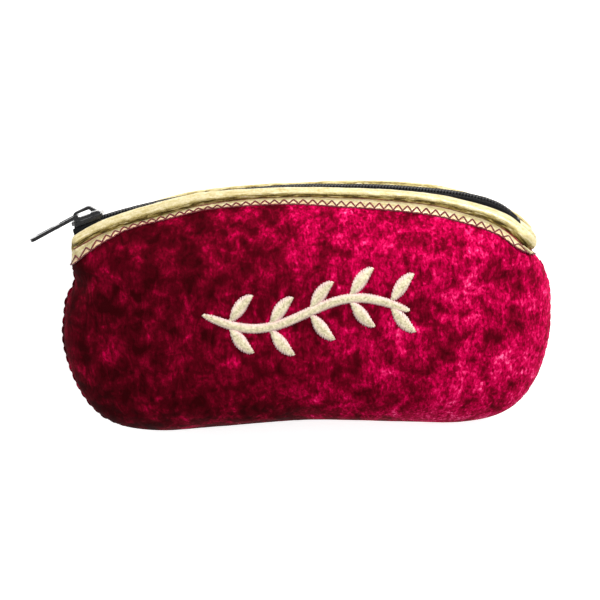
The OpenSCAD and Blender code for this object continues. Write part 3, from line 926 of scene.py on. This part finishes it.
# ---------------- zip
COIL_PITCH, COIL_WIRE = 1.35, 0.3
COIL_RISE, COIL_REACH = 0.72, 1.45  # half of each turn's height and width
COIL_MIDDLE = 1.22                  # from the middle of the chain
MOVING_LEFT, MOVING_RIGHT = CLOSED_ANGLE - 1.45, OPEN_ANGLE - 1.45
# Out from the chain and across from its middle, from the coil to behind the roll
TAPE_PROFILE = [(0.0, 0.5), (-0.55, 1.2), (-0.75, 2.2), (-0.2, 3.2), (0.05, 4.4), (0, 5.6),
                (-0.25, 6.6), (-1.2, 7.3), (-2.6, 7.45), (-4.5, 7.4)]


def zip_spans(left, right):
    """Side and end angles of the moving front, the whole back, and the fixed ends of the front."""
    return ((1, -MOVING_RIGHT, MOVING_LEFT), (-1, -right, left),
            (1, MOVING_LEFT, left), (1, -right, -MOVING_RIGHT))


def chain_point(a, out, across):
    x, y = on_arc(a, TRACK_R + out)
    return np.stack([x, y + chain_lift(x), SEAM_Z + across + 0 * x], -1)


def coil(side, a_from, a_to):
    """Coil of one side of the chain between two angles, as one long round wire."""
    turns = np.radians(a_to - a_from) * TRACK_R / COIL_PITCH
    steps = max(int(turns * 14), 2)
    t = np.linspace(0, turns, steps)
    first = np.radians(a_from) * TRACK_R / COIL_PITCH
    phase = 2 * np.pi * (t + first + (0.5 if side > 0 else 0))
    a = a_from + (a_to - a_from) * t / turns
    across = side * (COIL_MIDDLE - COIL_REACH * np.cos(phase))
    line = chain_point(a, COIL_RISE * np.sin(phase), across)
    return tube(line, COIL_WIRE, 7, up=(0, 1, 0))[:2]


def zip_coils(look):
    names = ("front_coil", "back_coil", "left_coil_end", "right_coil_end")
    for name, span in zip(names, zip_spans(CLOSED_ANGLE + 0.5, OPEN_ANGLE + 1.2)):
        obj = make(name + "_wire", *coil(*span), look, slot="zip_coil")
        attach(obj, name, 1 if name == "front_coil" else -1)


def tape(side, a_from, a_to):
    """Woven tape: flat beside the coil, then turned down behind the roll."""
    count = max(int(abs(a_to - a_from) * 8), 8)
    a = np.linspace(a_from, a_to, count)[:, None]
    a, out, across = np.broadcast_arrays(a, *np.array(TAPE_PROFILE).T)
    s = np.radians(a) * TRACK_R
    grain = np.stack([s, np.broadcast_to(np.arange(a.shape[1]) * 1.1, s.shape), 0 * s], -1)
    return chain_point(a, out, side * across), grid_faces(*a.shape), grain


def zip_tapes(look):
    names = ("front_zipper_tape", "back_zipper_tape", "left_tape_end", "right_tape_end")
    for name, span in zip(names, zip_spans(CLOSED_ANGLE + 1.3, OPEN_ANGLE + 1.9)):
        points, faces, grain = tape(*span)
        obj = make(name + "_weave", points, faces, look, grain, slot="zip_tape")
        thick = obj.modifiers.new("tape", "SOLIDIFY")
        thick.thickness, thick.offset = TAPE_THICK * MM, 0
        attach(obj, name, 1 if name == "front_zipper_tape" else -1)


def polished(node, body, look, bevel, shift=0.0):
    """The CAD node's own shape with its edges rounded, shift mm up the mouth."""
    mesh = frame["nodes"][node].data.copy()
    obj = bpy.data.objects.new(node + "_polished", mesh)
    bpy.context.collection.objects.link(obj)
    work = bmesh.new()
    work.from_mesh(mesh)
    bmesh.ops.remove_doubles(work, verts=work.verts, dist=1e-6)
    bmesh.ops.dissolve_limit(work, angle_limit=math.radians(2), verts=work.verts, edges=work.edges)
    work.to_mesh(mesh)
    work.free()
    for name in [a.name for a in mesh.attributes]:
        if name.startswith("custom"):
            mesh.attributes.remove(mesh.attributes[name])
    mesh.transform(Matrix.Translation((0, shift * MM, 0)))
    co = np.empty(len(mesh.vertices) * 3, np.float32)
    mesh.vertices.foreach_get("co", co)
    rest = mesh.attributes.new("rest", "FLOAT_VECTOR", "POINT")
    rest.data.foreach_set("vector", co / MM)
    mesh.materials.clear()
    mesh.materials.append(look)
    rounding = obj.modifiers.new("bevel", "BEVEL")
    rounding.width, rounding.segments = bevel * MM, 3
    rounding.limit_method, rounding.angle_limit = "ANGLE", math.radians(35)
    rounding.harden_normals = True
    mesh.shade_smooth()
    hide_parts(node)
    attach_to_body(obj, body)


# ---------------- side seam
def seam_route():
    """The side seam from the left end of the mouth round the bottom to the right end."""
    most_mouth = 0.45
    low = OUTLINE[:, 2] < most_mouth
    start = np.flatnonzero(low & ~np.roll(low, 1))[0]
    line = np.roll(OUTLINE, -start, axis=0)[np.roll(low, -start)]
    return np.column_stack([line[:, :2], np.full(len(line), SEAM_Z)])


def side_seam(velvet, thread):
    """The rounded edge of the velvet, scalloped by the loops of thread that are wound over it."""
    per_stitch = 12
    tucked = 9      # the edge stops this many samples short of the ends of the mouth
    route = seam_route()
    s = lengths(route)
    count = int(s[-1] / STITCH_PITCH)
    fine = np.linspace(0, s[-1], count * per_stitch + 1)
    path = np.stack([np.interp(fine, s, route[:, c]) for c in range(3)], -1)
    tangent = directions(path)
    outwards = np.stack([tangent[:, 1], -tangent[:, 0], 0 * fine], -1)
    phase = fine / s[-1] * count
    strength = np.interp(path[:, 0], [-100, -60, 80, 104], [1, 0.75, 0.5, 0.35])
    pinch = strength * (0.5 + 0.5 * np.cos(phase * 2 * np.pi)) ** 2
    radius = (0.75 + 0.35 * strength) * (1 - 0.3 * pinch)
    wobble = 0.12 * value_noise(path, 0.3, 21)
    middle = path + outwards * (0.15 * strength - 0.25 * pinch - 0.25 + wobble)[:, None]
    points, faces, grain = tube(settled(middle)[tucked:-tucked], radius[tucked:-tucked, None], 12)
    points += 0.09 * value_noise(points, 0.9, 22)[:, None]
    welt = make("side_seam_edge", points, faces, velvet, grain, slot="velvet")
    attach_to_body(welt, "back_half")
    reach, slant, thread_size = 0.62, 0.55, 0.2
    around = np.linspace(-reach, reach, 13)[:, None] * np.pi
    lean = np.linspace(-slant, slant, 13)[:, None]
    loops = []
    for at in range(per_stitch, count * per_stitch, per_stitch):
        r = radius[at] + 0.06
        loop = (middle[at] + outwards[at] * r * np.cos(around) + r * np.sin(around) * [0, 0, 1]
                + tangent[at] * lean)
        loops.append(tube(settled(loop), thread_size, 5, up=tangent[at]))
    points, faces, grain = joined(loops)
    obj = make("overcast_thread", points, faces, thread, grain, slot="velvet_thread")
    attach(obj, "perimeter_stitch", -1)


# ---------------- embroidery
SPRIG_LENGTH, SPRIG_PAIRS, SPRIG_Y = 84.0, 5, 6.0
LEAF_LENGTH = 14.5
SATIN_PITCH, SATIN_HEIGHT = 0.5, 0.85


def stem_y(x):
    return SPRIG_Y + 6 * np.sin(x * 2 * np.pi / SPRIG_LENGTH)


def on_face(x, y, lift):
    """Points on the front velvet, lifted off it."""
    points = np.stack([x, y, layer_z(*edge_at(x, y), 1)], -1)
    points[..., 2] += crumple(points) * 0.6 + swell(points, 1)
    points = settled(points)
    points[..., 2] += lift
    return points


def satin_column(line, width, slant):
    """Satin stitches side by side across a line of x, y points. width(q) is half their width."""
    sides, least = 6, 0.15
    s = lengths(line)
    fine = np.arange(SATIN_PITCH / 2, s[-1], SATIN_PITCH)
    centre = np.stack([np.interp(fine, s, line[:, c]) for c in (0, 1)], -1)
    ahead = directions(centre)
    across = np.stack([-ahead[:, 1], ahead[:, 0]], -1)
    q = np.linspace(-1, 1, 9)
    parts = []
    for c, t, n, w, f in zip(centre, ahead, across, width(fine / s[-1]), fine):
        if w < least:
            continue
        w = w + 0.2 * math.sin(f * 2 * math.pi / 1.2)
        xy = c + n * (q * w)[:, None] + t * (q * slant * min(w, 2))[:, None]
        lift = 0.12 + SATIN_HEIGHT * np.sqrt(np.maximum(0, 1 - q ** 2)) * min(1, w / 1.6)
        thread = on_face(xy[:, 0], xy[:, 1], lift)
        points, faces, grain = tube(thread, 0.56 * SATIN_PITCH, sides, flatten=0.8)
        grain[:, 2] = np.repeat(np.abs(q) ** 2.2, sides)
        parts.append((points, faces, grain))
    return parts


def stem_width(q):
    return 1.9 * (1 - np.abs(2 * q - 1) ** 8) ** 0.5


def leaf_width(q):
    return 2.7 * np.sin(np.pi * np.clip(q, 0.02, 0.99)) ** 0.75


def sprig(look):
    x = np.linspace(-SPRIG_LENGTH / 2 - 1, SPRIG_LENGTH / 2 + 1, 240)
    parts = satin_column(np.column_stack([x, stem_y(x)]), stem_width, 0.5)
    t = np.linspace(0, 1, 60)
    step = LEAF_LENGTH / len(t)
    for k in range(SPRIG_PAIRS):
        x0 = SPRIG_LENGTH * ((k + 0.6) / SPRIG_PAIRS - 0.5)
        for side in (-1, 1):
            angle = np.radians(side * (58 - 22 * t))
            line = np.column_stack([x0 + np.cumsum(np.cos(angle)) * step,
                                    stem_y(x0) + side * 1.6 + np.cumsum(np.sin(angle)) * step])
            parts += satin_column(line, leaf_width, 0.7 * side)
    points, faces, grain = joined(parts)
    obj = make("embroidered_sprig_satin", points, faces, look, grain, slot="satin_thread")
    attach(obj, "embroidered_sprig", 1)


# ---------------- inside layers and end tabs
TUCK_UP, TUCK_IN = 3.0, 0.05    # how far the inside layers draw back from the corners of the mouth


def inner_layer(side, node, name, outer, inner, look, slot):
    """A closed layer of padding or lining, between two depths under the velvet."""
    columns, rings = 180, fewer_rings(3)
    out_points, faces = half_layer(side, outer, columns, rings)
    in_points, _ = half_layer(side, inner, columns, rings)
    n = len(out_points)
    both = faces + [[n + k for k in f[::-1]] for f in faces]
    rim = [[i, n + i, n + (i + 1) % columns, (i + 1) % columns] for i in range(columns)]
    both += rim if side > 0 else [f[::-1] for f in rim]
    points = settled(np.concatenate([out_points, in_points]))
    corner = smooth((np.abs(points[:, 0]) - 84) / 10) * smooth((points[:, 1] - 6) / 10)
    rho, _ = edge_at(points[:, 0], points[:, 1])
    points[:, 2] += side * TUCK_UP * corner * np.clip(rho, 0, 1) ** 6
    points[:, 0] *= 1 - TUCK_IN * corner
    obj = make(NAME[side] + name, points, both, look, slot=slot)
    attach(obj, NAME[side] + node, side)
    return obj


# How each tab is moved and grown from its CAD box, and how steeply it slopes
TAB_FIT = {"left_end_tab": ((1.6, -1.6, 0), (-0.8, -0.3, -1.4), 0.0),
           "right_end_tab": ((-3.4, -5.8, 0), (2.4, 0.3, -1.2), -0.8)}


def end_tab(node, look):
    """Small folded leatherette tab over the end of the zip: a cushion round the CAD node's box."""
    moved, grown, slope = TAB_FIT[node]
    low, high = (np.array(v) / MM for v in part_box(node))
    centre, half = (low + high) / 2 + moved, (high - low) / 2 + grown
    rows, sides, squareness = 15, 28, 0.55
    q = np.linspace(0, 2 * np.pi, sides, endpoint=False)
    across, along = (np.sign(v) * np.abs(v) ** squareness for v in (np.cos(q), np.sin(q)))
    up = np.linspace(-1, 1, rows)[:, None]
    shrink = (1 - np.abs(up) ** 6) ** (1 / 6) * 0.88 + 0.12
    points = np.stack(np.broadcast_arrays(centre[0] + half[0] * across * shrink,
                                          centre[1] + half[1] * along * shrink,
                                          centre[2] + half[2] * up), -1)
    points[..., 1] += slope * (points[..., 0] - centre[0])
    points += 0.12 * value_noise(points, 0.5, 31)[..., None]
    grain = points.reshape(-1, 3) * [1, 1, 0]
    faces = ring_faces(rows, sides)
    obj = make(node + "_fold", points, faces, look, grain, slot="gold_leatherette")
    attach(obj, node, -1)


# ---------------- build
camera()
studio()
velvet = velvet_look()
gold = gold_look()
seam_thread = thread_look("seam_thread", "#300306", "#7a0c1c")
velvet_thread = thread_look("velvet_thread", "#3c0010", "#8c002e")
enamel = enamel_look()
coil_nylon = coil_look()
lining = lining_look()
foam = plain_look("wadding", "#cfc8ba", "#f3efe6", 0.5)
cord_cotton = plain_look("cotton_cord", "#c9bfa4", "#efe8d4", 1.2)

filling = stuffed()
for half in (1, -1):
    velvet_half(half, velvet)
    trim_band(half, gold)
    gold_roll(half, gold)
    filler(half, cord_cotton)
    groove_seam(half, seam_thread)
    zigzag(half, seam_thread)
    wadding = inner_layer(half, "_padding", "_wadding", 1.05, 5.05, foam, "foam")
    cloth = inner_layer(half, "_lining", "_lining_cloth", 5.1, 5.7, lining, "lining")
zip_coils(coil_nylon)
zip_tapes(tape_look())
side_seam(velvet, velvet_thread)
sprig(satin_look())
for tab in TAB_FIT:
    end_tab(tab, gold)
polished("slider_body", "slider", enamel, 0.3)
polished("pull_tab", "puller", enamel, 0.25)
polished("top_stops", "back_half", coil_nylon, 0.2)
stop_x = sum(corner[0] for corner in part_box("bottom_stop")) / 2 / MM
stop_shift = float(chain_lift(stop_x)) - 1.2    # it lies a little below the chain
polished("bottom_stop", "back_half", coil_nylon, 0.3, stop_shift)
